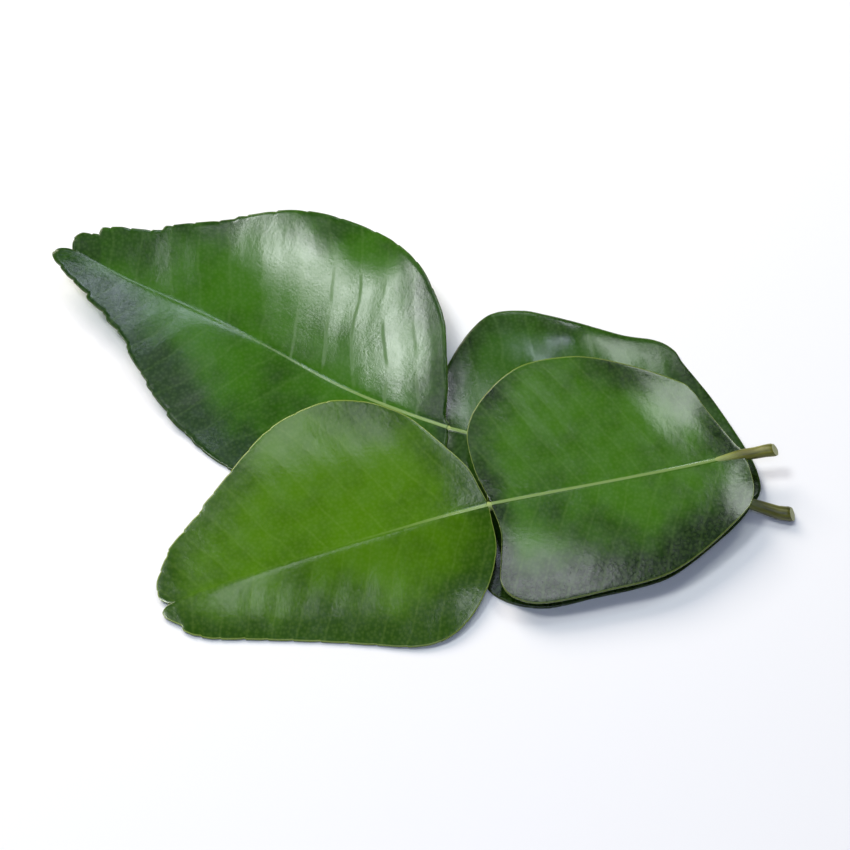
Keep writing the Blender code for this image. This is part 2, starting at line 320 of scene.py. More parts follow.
# %% [markdown]
# One small function adds every node, in Geometry Nodes and in materials alike. It
# sets the node's own settings, and fills or links its inputs. Handing it a node
# links that node's first output. In each tree, add stands for this function with
# the tree already given. Trees and materials begin alike, so that is written once.
# EASED is the setting of a map range that starts and ends gently.

# %% Add a node
EASED = {"interpolation_type": "SMOOTHSTEP"}


def fill(tree, node, inputs):
    """Set or link a node's inputs. Each is a plain value, a socket or a node."""
    for key, value in inputs.items():
        if isinstance(value, bpy.types.Node):
            value = value.outputs[0]
        if isinstance(value, bpy.types.NodeSocket):
            tree.links.new(value, node.inputs[key])
        else:
            node.inputs[key].default_value = value


def add_node(tree, kind, inputs=None, **settings):
    """Add one node with its settings and its inputs."""
    node = tree.nodes.new(kind)
    for name, value in settings.items():
        setattr(node, name, value)
    fill(tree, node, inputs or {})
    return node


def new_tree(title, sockets):
    """Geometry Nodes tree with named inputs, given by kind. None leaves one empty."""
    tree = bpy.data.node_groups.new(title, "GeometryNodeTree")
    for end in ("INPUT", "OUTPUT"):
        tree.interface.new_socket("Geometry", in_out=end, socket_type="NodeSocketGeometry")
    for kind, values in sockets.items():
        for name, value in values.items():
            socket = tree.interface.new_socket(name, in_out="INPUT",
                                               socket_type="NodeSocket" + kind)
            if value is not None:
                socket.default_value = value
    return tree


def new_material(name):
    """Material with its node tree and its shader."""
    material = bpy.data.materials.new(name)
    material.use_nodes = True
    return material, material.node_tree, material.node_tree.nodes["Principled BSDF"]


print("nodes, trees and materials can be made")

# %% [markdown]
# A finished tree is put on an object as a modifier. Its inputs are set by their
# identifiers, Blender works the result out once, and a plain mesh is kept.

# %% Grow a mesh
def grown(item, tree, inputs):
    """Plain mesh that a Geometry Nodes tree makes from an object."""
    modifier = item.modifiers.new("grow", "NODES")
    modifier.node_group = tree
    sockets = {socket.name: socket.identifier for socket in tree.interface.items_tree
               if socket.in_out == "INPUT"}
    for title, value in inputs.items():
        modifier[sockets[title]] = value
    bpy.context.view_layer.update()
    depsgraph = bpy.context.evaluated_depsgraph_get()
    mesh = bpy.data.meshes.new_from_object(item.evaluated_get(depsgraph))
    item.modifiers.clear()
    print(item.name, "has", sum(len(face.vertices) - 2 for face in mesh.polygons), "triangles")
    return mesh


print("grown is ready")

# %% [markdown]
# The skin of a real leaf is not smooth. Side veins run from the midrib towards the
# margin every few millimetres. They sit a little low, and the tissue between them
# is puffed up. A finer net of veins lies between. That relief breaks the sheen
# into streaks, so it belongs in the mesh and not only in the material.
#
# The midrib is a low ridge as well, and on a blade it dies away towards the tip.
#
# It follows a rule, so Geometry Nodes make it. Every point carries its place on
# the flat leaf. A side vein is where the distance along, less a lean times the
# distance across, is a whole number of vein spacings. The sheet is pushed by that
# rule, given its thickness, closed, and handed two materials.

# %% Geometry Nodes for the leaf skin
def from_vein(tree, turns, times):
    """Nought on a vein and one half way to the next, with so many veins per turn."""
    add = partial(add_node, tree)
    turns = add("ShaderNodeMath", {0: turns, 1: times}, operation="MULTIPLY")
    half = add("ShaderNodeMath", {0: turns, 1: 0.5}, operation="PINGPONG")
    return add("ShaderNodeMath", {0: half, 1: 2.0}, operation="MULTIPLY")


def build_skin_tree():
    """Tree that gives a bent leaf sheet its veins, its thickness and its materials."""
    tree = new_tree("leaf skin with veins", {
        "Float": {"Vein spacing mm": 6.5, "Vein lean": 0.45, "Vein curve": 0.002,
                  "Vein wander": 0.8, "Puff height mm": 0.06, "Net size mm": 1.9,
                  "Net height mm": 0.003, "Sway height mm": 0.15, "Rib width mm": 1.0,
                  "Rib height mm": 0.08, "Rib end mm": 1000.0, "Tissue mm": TISSUE,
                  "Seed": 1.0},
        "Material": {"Upper skin": None, "Lower skin": None}})
    add = partial(add_node, tree)
    given = add("NodeGroupInput").outputs

    spot = add("GeometryNodeInputNamedAttribute", {"Name": "leaf_place"},
               data_type="FLOAT_VECTOR").outputs["Attribute"]
    rim = add("GeometryNodeInputNamedAttribute", {"Name": "rim_mm"},
              data_type="FLOAT").outputs["Attribute"]
    parts = add("ShaderNodeSeparateXYZ", {0: spot}).outputs
    across = add("ShaderNodeMath", {0: parts["Y"]}, operation="ABSOLUTE")
    side = add("ShaderNodeMath", {0: parts["Y"]}, operation="SIGN")

    # Distance along, less the lean and the forward curve of the side veins
    lean = add("ShaderNodeMath", {0: across, 1: given["Vein lean"]}, operation="MULTIPLY")
    square = add("ShaderNodeMath", {0: across, 1: 2.0}, operation="POWER")
    curve = add("ShaderNodeMath", {0: square, 1: given["Vein curve"], 2: lean},
                operation="MULTIPLY_ADD")
    start = add("ShaderNodeMath", {0: parts["X"], 1: curve}, operation="SUBTRACT")
    wander = add("ShaderNodeTexNoise", {"Vector": spot, "W": given["Seed"], "Scale": 0.07,
                                        "Detail": 2.0}, noise_dimensions="4D")
    turns = add("ShaderNodeMath", {0: start, 1: given["Vein spacing mm"]}, operation="DIVIDE")
    turns = add("ShaderNodeMath", {0: wander, 1: given["Vein wander"], 2: turns},
                operation="MULTIPLY_ADD")
    turns = add("ShaderNodeMath", {0: side, 1: 0.2, 2: turns}, operation="MULTIPLY_ADD")

    # The tissue is puffed up between the side veins, and a little between the small ones
    main = from_vein(tree, turns, 1.0)
    small = from_vein(tree, turns, SMALL_VEINS)
    puff = add("ShaderNodeMapRange", {"Value": main}, **EASED)
    little = add("ShaderNodeMapRange", {"Value": small}, **EASED)
    puff = add("ShaderNodeMath", {0: little, 1: 0.12, 2: puff}, operation="MULTIPLY_ADD")

    # The relief dies away at the midrib and at the margin
    inward = add("ShaderNodeMapRange", {"Value": rim, "From Min": 0.2, "From Max": 4.0}, **EASED)
    outward = add("ShaderNodeMapRange", {"Value": across, "From Min": 0.6, "From Max": 3.0},
                  **EASED)
    fading = add("ShaderNodeMath", {0: inward, 1: outward}, operation="MULTIPLY")
    puff = add("ShaderNodeMath", {0: puff, 1: fading}, operation="MULTIPLY")
    push = add("ShaderNodeMath", {0: puff, 1: given["Puff height mm"]}, operation="MULTIPLY")

    # Fine net of veins
    cells = add("ShaderNodeVectorMath", {0: spot, 1: given["Net size mm"]}, operation="DIVIDE")
    net = add("ShaderNodeTexVoronoi", {"Vector": cells, "Scale": 1.0}, feature="DISTANCE_TO_EDGE",
              voronoi_dimensions="2D").outputs["Distance"]
    net = add("ShaderNodeMapRange", {"Value": net, "From Min": 0.0, "From Max": 0.3}, **EASED)
    push = add("ShaderNodeMath", {0: net, 1: given["Net height mm"], 2: push},
               operation="MULTIPLY_ADD")

    # Slow sway of the whole sheet, which bends the sheen
    sway = add("ShaderNodeTexNoise", {"Vector": spot, "W": given["Seed"], "Scale": 0.055,
                                      "Detail": 1.0}, noise_dimensions="4D")
    sway = add("ShaderNodeMath", {0: sway, 1: given["Sway height mm"], 2: push},
               operation="MULTIPLY_ADD")

    # Low ridge of the midrib, which dies away towards its end
    half = add("ShaderNodeMath", {0: given["Rib width mm"], 1: 0.5}, operation="MULTIPLY")
    ridge = add("ShaderNodeMapRange", {"Value": across, "From Min": 0.0, "From Max": half,
                                       "To Min": 1.0, "To Max": 0.0}, **EASED)
    kept = add("ShaderNodeMapRange", {"Value": parts["X"], "From Min": 0.0,
                                      "From Max": given["Rib end mm"], "To Min": 1.0,
                                      "To Max": 0.0}, **EASED)
    ridge = add("ShaderNodeMath", {0: ridge, 1: kept}, operation="MULTIPLY")
    push = add("ShaderNodeMath", {0: ridge, 1: given["Rib height mm"], 2: sway},
               operation="MULTIPLY_ADD")

    normal = add("GeometryNodeInputNormal")
    metres = add("ShaderNodeMath", {0: push, 1: MM}, operation="MULTIPLY")
    offset = add("ShaderNodeVectorMath", {0: normal, "Scale": metres}, operation="SCALE")
    sheet = add("GeometryNodeSetPosition", {"Geometry": given["Geometry"], "Offset": offset})
    sheet = add("GeometryNodeStoreNamedAttribute", {"Geometry": sheet, "Name": "vein_turns",
                                                    "Value": turns}, data_type="FLOAT",
                domain="POINT")

    # Thickness: the sheet is the lower skin, and a copy of it is raised to be the upper
    thick = add("ShaderNodeMath", {0: given["Tissue mm"], 1: MM}, operation="MULTIPLY")
    raised = add("GeometryNodeExtrudeMesh", {"Mesh": sheet, "Offset Scale": thick,
                                             "Individual": False}, mode="FACES")
    raised = add("GeometryNodeStoreNamedAttribute", {"Geometry": raised, "Name": "lower",
                                                     "Value": False}, data_type="BOOLEAN",
                 domain="FACE")
    lower = add("GeometryNodeFlipFaces", {0: sheet})
    lower = add("GeometryNodeStoreNamedAttribute", {"Geometry": lower, "Name": "lower",
                                                    "Value": True}, data_type="BOOLEAN",
                domain="FACE")
    both = add("GeometryNodeJoinGeometry", {0: raised})
    tree.links.new(lower.outputs[0], both.inputs[0])
    closed = add("GeometryNodeMergeByDistance", {"Geometry": both, "Distance": 0.004 * MM})
    smooth = add("GeometryNodeSetShadeSmooth", {"Geometry": closed})
    real = add("GeometryNodeRealizeInstances", {"Geometry": smooth})
    upper = add("GeometryNodeSetMaterial", {"Geometry": real, "Material": given["Upper skin"]})
    is_lower = add("GeometryNodeInputNamedAttribute", {"Name": "lower"},
                   data_type="BOOLEAN").outputs["Attribute"]
    dressed = add("GeometryNodeSetMaterial", {"Geometry": upper, "Selection": is_lower,
                                              "Material": given["Lower skin"]})
    add("NodeGroupOutput", {0: dressed})
    return tree


skin_tree = build_skin_tree()
print("skin tree has", len(skin_tree.nodes), "nodes")

# %% [markdown]
# The upper skin of a makrut lime leaf is a waxy cuticle over deep green tissue. It
# has a broad soft sheen, no mirror gloss, and tiny oil glands that show as fine
# speckles. Veins and the margin are paler, because there is less green in them. The
# thin pale line along the margin is also a painted highlight, where the rim catches
# the light, and it is strongest on the front leaf.
#
# The colour is layered like that: deep and fresh green in large soft patches,
# with painted light and shade laid over them: lighter away from the margin and on
# the far half, darker towards the margin and on the near half. Then come paler veins,
# a pale midrib that fades out towards the tip of a blade, a thin pale margin with a
# painted highlight, and a fine speckle. Patterns read each point's place on the
# flat leaf, in mm.

# %% Waxy upper skin
# Pale margin colour, which also serves as a painted highlight on the rim
PALE_EDGE_AND_HIGHLIGHT = "#8fa04c"


def waxy_skin(name, deep, fresh, vein, rib, gloss, pale_rim_and_highlight=0.12, rib_half=0.12,
              rib_fade=(60.0, 90.0), crease_dull=0.0):
    """Cuticle over leaf tissue. The rib's colour fades out between two distances."""
    material, tree, shader = new_material(name)
    add = partial(add_node, tree)
    spot = add("ShaderNodeAttribute", attribute_name="leaf_place").outputs["Vector"]
    rim = add("ShaderNodeAttribute", attribute_name="rim_mm").outputs["Fac"]
    turns = add("ShaderNodeAttribute", attribute_name="vein_turns").outputs["Fac"]
    main = from_vein(tree, turns, 1.0)
    small = from_vein(tree, turns, SMALL_VEINS)
    parts = add("ShaderNodeSeparateXYZ", {0: spot}).outputs
    across = add("ShaderNodeMath", {0: parts["Y"]}, operation="ABSOLUTE")

    # Large soft patches about 15 mm across, with painted light inwards and on the far half, and
    # painted shade towards the margin and on the near half
    patches = add("ShaderNodeTexNoise", {"Vector": spot, "Scale": 1 / 15, "Detail": 6.0,
                                         "Roughness": 0.6})
    painted_light_inwards = add("ShaderNodeMapRange", {"Value": rim, "From Min": 0.0, "From Max": 12.0,
                                       "To Min": -0.16, "To Max": 0.17}, **EASED)
    patches = add("ShaderNodeMath", {0: patches, 1: painted_light_inwards}, operation="ADD")
    # Painted shade: darker on the near half, lighter on the far half
    patches = add("ShaderNodeMath", {0: parts["Y"], 1: 0.008, 2: patches},
                  operation="MULTIPLY_ADD")
    patches = add("ShaderNodeMapRange", {"Value": patches, "From Min": 0.3, "From Max": 0.8},
                  **EASED)
    green = add("ShaderNodeMix", {"Factor": patches, 6: colour(deep), 7: colour(fresh)},
                data_type="RGBA").outputs[2]

    # Oil glands and the finest net, under a millimetre apart
    cells = add("ShaderNodeTexVoronoi", {"Vector": spot, "Scale": 1 / 0.8},
                voronoi_dimensions="2D").outputs["Distance"]
    gland = add("ShaderNodeMapRange", {"Value": cells, "From Min": 0.1, "From Max": 0.55,
                                       "To Min": 0.1, "To Max": 0.0})

    # Side veins, then the small ones between them
    side_vein = add("ShaderNodeMapRange", {"Value": main, "From Min": 0.03, "From Max": 0.16,
                                           "To Min": 0.06, "To Max": 0.0}, **EASED)
    small_vein = add("ShaderNodeMapRange", {"Value": small, "From Min": 0.05, "From Max": 0.3,
                                            "To Min": 0.03, "To Max": 0.0}, **EASED)

    # Midrib: up to 0.7 mm wide with its soft edges, and thinner where it fades
    fade = add("ShaderNodeMapRange", {"Value": parts["X"], "From Min": rib_fade[0],
                                      "From Max": rib_fade[1], "To Min": 1.0, "To Max": 0.0},
               **EASED)
    width = add("ShaderNodeMapRange", {"Value": fade, "To Min": 0.05, "To Max": rib_half})
    wider = add("ShaderNodeMath", {0: width, 1: 0.16}, operation="ADD")
    core = add("ShaderNodeMapRange", {"Value": across, "From Min": width, "From Max": wider,
                                      "To Min": 0.92, "To Max": 0.0}, **EASED)
    strength = add("ShaderNodeMapRange", {"Value": fade, "To Min": 0.04, "To Max": 1.0})
    core = add("ShaderNodeMath", {0: core, 1: strength}, operation="MULTIPLY")

    # Thin pale margin: the rim's own paler tint, and a painted highlight where it catches the
    # light
    margin = add("ShaderNodeMapRange", {"Value": rim, "From Min": 0.05, "From Max": 0.3,
                                        "To Min": pale_rim_and_highlight, "To Max": 0.0}, **EASED)
    for share, tint in ((gland, vein), (side_vein, vein), (small_vein, vein), (core, rib),
                        (margin, PALE_EDGE_AND_HIGHLIGHT)):
        green = add("ShaderNodeMix", {"Factor": share, 6: green, 7: colour(tint)},
                    data_type="RGBA").outputs[2]

    # Wax lies unevenly, so the roughness varies in small patches
    wax = add("ShaderNodeTexNoise", {"Vector": spot, "Scale": 1 / 3, "Detail": 3.0})
    rough = add("ShaderNodeMapRange", {"Value": wax, "From Min": 0.3, "From Max": 0.7,
                                       "To Min": gloss, "To Max": gloss + 0.05})

    # Some side veins of the far half lie in a narrow crease, where the wax is dull
    depth = add("ShaderNodeTexNoise", {"Vector": spot, "Scale": 1 / 9, "Detail": 1.0})
    depth = add("ShaderNodeMapRange", {"Value": depth, "From Min": 0.42, "From Max": 0.52})
    base = add("ShaderNodeMapRange", {"Value": parts["X"], "From Min": 32.0, "From Max": 42.0,
                                      "To Min": 1.0, "To Max": 0.0})
    inside = add("ShaderNodeMapRange", {"Value": rim, "From Min": 5.0, "From Max": 9.0})
    base = add("ShaderNodeMath", {0: base, 1: inside}, operation="MULTIPLY")
    far_half = add("ShaderNodeMath", {0: parts["Y"], 1: 0.0}, operation="GREATER_THAN")
    base = add("ShaderNodeMath", {0: base, 1: far_half}, operation="MULTIPLY")
    depth = add("ShaderNodeMath", {0: depth, 1: base}, operation="MULTIPLY")
    crease = add("ShaderNodeMapRange", {"Value": main, "From Min": 0.03, "From Max": 0.17,
                                        "To Min": crease_dull, "To Max": 0.0}, **EASED)
    rough = add("ShaderNodeMath", {0: crease, 1: depth, 2: rough}, operation="MULTIPLY_ADD")

    # Skin cells and glands as a shallow bump, a few hundredths of a millimetre deep
    grain = add("ShaderNodeTexNoise", {"Vector": spot, "Scale": 2.2, "Detail": 4.0})
    height = add("ShaderNodeMath", {0: cells, 1: 0.3, 2: grain}, operation="MULTIPLY_ADD")
    bump = add("ShaderNodeBump", {"Height": height, "Strength": 0.15, "Distance": 0.05 * MM})
    fill(tree, shader, {"Base Color": green, "Roughness": rough, "Normal": bump, "IOR": 1.42})
    return material


print("waxy skin is ready")

# %% [markdown]
# The underside is matt and paler, because its cells are loose and full of air. Its
# veins stand out. It is seen only at lifted edges and from below.

# %% Matt lower skin
def matt_skin(name, tissue, vein):
    """Pale lower skin with its net of veins."""
    material, tree, shader = new_material(name)
    add = partial(add_node, tree)
    spot = add("ShaderNodeAttribute", attribute_name="leaf_place").outputs["Vector"]
    turns = add("ShaderNodeAttribute", attribute_name="vein_turns").outputs["Fac"]
    main = from_vein(tree, turns, 1.0)
    patches = add("ShaderNodeTexNoise", {"Vector": spot, "Scale": 1 / 6, "Detail": 4.0})
    darker = tuple(level * 0.7 for level in colour(tissue)[:3]) + (1.0,)
    pale = add("ShaderNodeMix", {"Factor": patches, 6: darker, 7: colour(tissue)},
               data_type="RGBA").outputs[2]
    cells = add("ShaderNodeTexVoronoi", {"Vector": spot, "Scale": 1 / 1.9},
                feature="DISTANCE_TO_EDGE", voronoi_dimensions="2D").outputs["Distance"]
    net = add("ShaderNodeMapRange", {"Value": cells, "From Min": 0.02, "From Max": 0.12,
                                     "To Min": 0.35, "To Max": 0.0})
    line = add("ShaderNodeMapRange", {"Value": main, "From Min": 0.04, "From Max": 0.16,
                                      "To Min": 0.7, "To Max": 0.0}, **EASED)
    for share in (net, line):
        pale = add("ShaderNodeMix", {"Factor": share, 6: pale, 7: colour(vein)},
                   data_type="RGBA").outputs[2]
    grain = add("ShaderNodeTexNoise", {"Vector": spot, "Scale": 3.0, "Detail": 3.0})
    bump = add("ShaderNodeBump", {"Height": grain, "Strength": 0.5, "Distance": 0.04 * MM})
    fill(tree, shader, {"Base Color": pale, "Normal": bump, "Roughness": 0.62, "IOR": 1.42})
    return material


lower_skin = matt_skin("matt lower leaf skin", "#8fa765", "#b9c887")
print("made", lower_skin.name)

# %% [markdown]
# A sheet is a grid of points, one row for each step along the leaf. Each row runs
# from the midrib to the margin on both sides, leaning forwards as the veins do.
# Every point keeps its place on the flat leaf and its distance from the margin,
# for the tree and the materials to read. Points lie closer together at the midrib
# and at the margin, where the sheet bends most.

# %% Make a leaf face
def leaf_sheet(name, leaf, rows, columns):
    """Bent grid that lies where the leaf's lower skin is."""
    span = np.linspace(-1, 1, 2 * columns + 1)
    span = (span + np.sign(span) * (1 - np.cos(math.pi * span)) / 2) / 2
    edge = {side: leaf.margin(side, rows) for side in (1, -1)}
    foot = np.linspace(leaf.start, leaf.end, rows + 1)
    along = np.empty((rows + 1, len(span)))
    across = np.empty_like(along)
    rim = np.empty_like(along)
    for column, reach in enumerate(span):
        side = 1 if reach >= 0 else -1
        from_foot = edge[side] - np.stack([foot, np.zeros_like(foot)], 1)
        along[:, column] = foot + from_foot[:, 0] * abs(reach)
        across[:, column] = edge[side][:, 1] * abs(reach) * side
        rim[:, column] = np.linalg.norm(from_foot, axis=1) * (1 - abs(reach))
    along = along.ravel()
    across = across.ravel()
    placed = leaf.place(along, across, rim.ravel())
    placed[:, :2] += MOVED
    placed[:, 2] -= TOP_BELOW_SOLID + TISSUE
    mesh = bpy.data.meshes.new(name)
    corners = []
    wide = len(span)
    for row in range(rows):
        for column in range(wide - 1):
            here = row * wide + column
            corners.append((here, here + 1, here + wide + 1, here + wide))
    mesh.from_pydata((placed * MM).tolist(), [], corners)
    mesh.update()
    if sum(polygon.normal.z for polygon in mesh.polygons) < 0:
        mesh.flip_normals()
    spots = mesh.attributes.new("leaf_place", "FLOAT_VECTOR", "POINT")
    flat = np.stack([along, across, np.zeros_like(along)], 1)
    spots.data.foreach_set("vector", flat.ravel())
    rims = mesh.attributes.new("rim_mm", "FLOAT", "POINT")
    rims.data.foreach_set("value", rim.ravel())
    return mesh


def leaf_face(name, leaf, rows, columns, upper, **sizes):
    """Finished leaf face: the bent sheet with its skin grown by Geometry Nodes."""
    item = bpy.data.objects.new(name, leaf_sheet(name + "_sheet", leaf, rows, columns))
    bpy.context.scene.collection.objects.link(item)
    item.data = grown(item, skin_tree, {**sizes, "Upper skin": upper, "Lower skin": lower_skin})
    item.data.name = name
    return item


print("leaf_face is ready")

# %% [markdown]
# All four faces share one recipe with slightly different greens. The front blade
# is the freshest. On the front blade the pale midrib fades out by the middle, and
# on the back blade well past it. On a wing it stays strong up to the joint.

# %% The four dressed leaf faces
front_blade_skin = waxy_skin("waxy front blade skin", deep="#244600", fresh="#4a7700",
                             vein="#7a9844", rib="#8ba65c", gloss=0.12, pale_rim_and_highlight=0.7,
                             rib_half=0.2, rib_fade=(-6.0, 28.0))
front_wing_skin = waxy_skin("waxy front wing skin", deep="#0c2400", fresh="#396900",
                            vein="#6f8f48", rib="#7c9652", gloss=0.13, pale_rim_and_highlight=0.5)
back_blade_skin = waxy_skin("waxy back blade skin", deep="#143400", fresh="#346600",
                            vein="#6a8b48", rib="#86a05e", gloss=0.145, rib_half=0.2,
                            rib_fade=(2.0, 60.0), crease_dull=0.22)
back_wing_skin = waxy_skin("waxy back wing skin", deep="#0f2600", fresh="#2a5402",
                           vein="#67864a", rib="#7c9652", gloss=0.15)

front_blade = leaf_face("front_blade_skin", FRONT_BLADE, 300, 48, front_blade_skin,
                        **{"Seed": 3.0, "Vein spacing mm": 5.5, "Puff height mm": 0.012,
                           "Sway height mm": 0.08, "Rib height mm": 0.03, "Rib end mm": 40.0})
front_wing = leaf_face("front_wing_skin", FRONT_WING, 250, 48, front_wing_skin,
                       **{"Seed": 5.0, "Vein spacing mm": 5.5, "Puff height mm": 0.012,
                          "Sway height mm": 0.1})
back_blade = leaf_face("back_blade_skin", BACK_BLADE, 360, 48, back_blade_skin,
                       **{"Seed": 8.0, "Puff height mm": 0.017, "Rib height mm": 0.04,
                          "Rib end mm": 60.0})
back_wing = leaf_face("back_wing_skin", BACK_WING, 250, 48, back_wing_skin,
                      **{"Seed": 11.0, "Puff height mm": 0.03})

# %% [markdown]
# The stalk is a round green stem, a little wider at its cut end. It grows into the
# wing's base and runs on below as the thick midrib that one feels on the
# underside. It is a path with a radius at each point, so Geometry Nodes sweep a
# ring along it and add faint lengthwise ridges. The knife went through at a slant,
# so the end is sheared: the higher a point is, the further it is set back.

# %% Geometry Nodes for the stalk
def build_stalk_tree():
    """Tree that sweeps a stalk along a curve and gives it a slanting cut end."""
    tree = new_tree("stalk with a cut end", {
        "Int": {"Sides": 28, "Steps": 480},
        "Float": {"Ridge height mm": 0.1, "Cut slant": 0.55, "Seed": 1.0},
        "Vector": {"Cut axis": None},
        "Material": {"Bark": None, "Cut": None}})
    add = partial(add_node, tree)
    given = add("NodeGroupInput").outputs

    path = add("GeometryNodeResampleCurve", {"Curve": given["Geometry"], "Count": given["Steps"]})
    walked = add("GeometryNodeSplineParameter").outputs["Length"]
    walked = add("ShaderNodeMath", {0: walked, 1: MM}, operation="DIVIDE")
    path = add("GeometryNodeStoreNamedAttribute", {"Geometry": path, "Name": "from_cut_mm",
                                                   "Value": walked}, data_type="FLOAT",
               domain="POINT")
    position = add("GeometryNodeInputPosition")
    path = add("GeometryNodeStoreNamedAttribute", {"Geometry": path, "Name": "centre_line",
                                                   "Value": position}, data_type="FLOAT_VECTOR",
               domain="POINT")
    ring = add("GeometryNodeCurvePrimitiveCircle", {"Resolution": given["Sides"], "Radius": MM})
    radius = add("GeometryNodeInputRadius")
    edge = add("ShaderNodeMapRange", {"Value": walked, "From Min": 0.0, "From Max": 0.5,
                                      "To Min": 0.86, "To Max": 1.0})
    radius = add("ShaderNodeMath", {0: radius, 1: edge}, operation="MULTIPLY")
    stem = add("GeometryNodeCurveToMesh", {"Curve": path, "Profile Curve": ring, "Scale": radius,
                                           "Fill Caps": True})

    # Where each point is in the cross section, in mm, drawn out along the stem
    from_cut = add("GeometryNodeInputNamedAttribute", {"Name": "from_cut_mm"},
                   data_type="FLOAT").outputs["Attribute"]
    centre = add("GeometryNodeInputNamedAttribute", {"Name": "centre_line"},
                 data_type="FLOAT_VECTOR").outputs["Attribute"]
    section = add("ShaderNodeVectorMath", {0: position, 1: centre}, operation="SUBTRACT")
    section = add("ShaderNodeVectorMath", {0: section, 1: (MM, MM, MM)}, operation="DIVIDE")
    parts = add("ShaderNodeSeparateXYZ", {0: section}).outputs
    stretched = add("ShaderNodeMath", {0: from_cut, 1: 0.14}, operation="MULTIPLY")
    spot = add("ShaderNodeCombineXYZ", {0: stretched, 1: parts["Y"], 2: parts["Z"]})
    stem = add("GeometryNodeStoreNamedAttribute", {"Geometry": stem, "Name": "bark_place",
                                                   "Value": spot}, data_type="FLOAT_VECTOR",
               domain="POINT")
    grain = add("ShaderNodeTexNoise", {"Vector": spot, "W": given["Seed"], "Scale": 1.1,
                                       "Detail": 2.0}, noise_dimensions="4D")
    grain = add("ShaderNodeMath", {0: grain, 1: 0.5}, operation="SUBTRACT")
    ridge = add("ShaderNodeMath", {0: grain, 1: given["Ridge height mm"]}, operation="MULTIPLY")
    ridge = add("ShaderNodeMath", {0: ridge, 1: MM}, operation="MULTIPLY")
    normal = add("GeometryNodeInputNormal")
    offset = add("ShaderNodeVectorMath", {0: normal, "Scale": ridge}, operation="SCALE")

    # Slant of the cut, which fades out 2.5 mm along the stem
    near_cut = add("ShaderNodeMapRange", {"Value": from_cut, "From Min": 0.0, "From Max": 2.5,
                                          "To Min": -MM, "To Max": 0.0})
    slant = add("ShaderNodeMath", {0: parts["Z"], 1: given["Cut slant"]}, operation="MULTIPLY")
    slant = add("ShaderNodeMath", {0: slant, 1: near_cut}, operation="MULTIPLY")
    sheared = add("ShaderNodeVectorMath", {0: given["Cut axis"], "Scale": slant},
                  operation="SCALE")
    offset = add("ShaderNodeVectorMath", {0: offset, 1: sheared}, operation="ADD")
    stem = add("GeometryNodeSetPosition", {"Geometry": stem, "Offset": offset})

    # The faces with more than five corners are the ends
    count = add("GeometryNodeInputMeshFaceNeighbors").outputs["Vertex Count"]
    is_cut = add("FunctionNodeCompare", {2: count, 3: 5}, data_type="INT",
                 operation="GREATER_THAN")
    is_side = add("FunctionNodeBooleanMath", {0: is_cut}, operation="NOT")
    stem = add("GeometryNodeSetShadeSmooth", {"Geometry": stem, "Shade Smooth": is_side})
    real = add("GeometryNodeRealizeInstances", {"Geometry": stem})
    bark = add("GeometryNodeSetMaterial", {"Geometry": real, "Material": given["Bark"]})
    dressed = add("GeometryNodeSetMaterial", {"Geometry": bark, "Selection": is_cut,
                                              "Material": given["Cut"]})
    add("NodeGroupOutput", {0: dressed})
    return tree


stalk_tree = build_stalk_tree()
print("stalk tree has", len(stalk_tree.nodes), "nodes")

# %% [markdown]
# Fresh green bark is satin, olive where it is exposed and a little streaked along
# the stem. Under the leaf it is paler and greener. The cut shows pale moist wood.

# %% Bark and cut wood
def green_bark(name, dark, light, pale):
    """Young bark: olive streaks near the cut, pale green from 13 mm on."""
    material, tree, shader = new_material(name)
    add = partial(add_node, tree)
    spot = add("ShaderNodeAttribute", attribute_name="bark_place").outputs["Vector"]
    from_cut = add("ShaderNodeAttribute", attribute_name="from_cut_mm").outputs["Fac"]
    streaks = add("ShaderNodeTexNoise", {"Vector": spot, "Scale": 1.6, "Detail": 4.0})
    streaks = add("ShaderNodeMapRange", {"Value": streaks, "From Min": 0.35, "From Max": 0.65})
    green = add("ShaderNodeMix", {"Factor": streaks, 6: colour(dark), 7: colour(light)},
                data_type="RGBA").outputs[2]
    sheltered = add("ShaderNodeMapRange", {"Value": from_cut, "From Min": 5.0, "From Max": 13.0},
                    **EASED)
    green = add("ShaderNodeMix", {"Factor": sheltered, 6: green, 7: colour(pale)},
                data_type="RGBA").outputs[2]
    bump = add("ShaderNodeBump", {"Height": streaks, "Strength": 0.4, "Distance": 0.05 * MM})
    fill(tree, shader, {"Base Color": green, "Normal": bump, "Roughness": 0.38, "IOR": 1.45})
    return material


def cut_wood(name, pith, edge):
    """Freshly cut stalk: pale moist wood, mottled at a quarter of a millimetre."""
    material, tree, shader = new_material(name)
    add = partial(add_node, tree)
    where = add("ShaderNodeTexCoord").outputs["Object"]
    fibres = add("ShaderNodeTexNoise", {"Vector": where, "Scale": 4000.0, "Detail": 2.0})
    wood = add("ShaderNodeMix", {"Factor": fibres, 6: colour(pith), 7: colour(edge)},
               data_type="RGBA").outputs[2]
    fill(tree, shader, {"Base Color": wood, "Roughness": 0.6})
    return material


front_bark = green_bark("green front stalk bark", "#55561a", "#868638", "#93a65c")
back_bark = green_bark("green back stalk bark", "#383a0e", "#666828", "#93a65c")
wood = cut_wood("freshly cut stalk wood", "#c4c493", "#979a62")
print("made", front_bark.name, "and", back_bark.name)

# %% [markdown]
# At the wing's base the stalk shows on top of the leaf, and 11 mm further on it has
# sunk below the skin. It comes up a little once more at the joint of wing and
# blade, which is a swollen, paler knuckle on a real citrus leaf.

# %% The two stalks
EMERGING = 0.4
BURIED = 0.8
SINKING = 11.0
FLARE = 0.3
KNUCKLE = 1.4
KNUCKLE_LIFT = 0.36


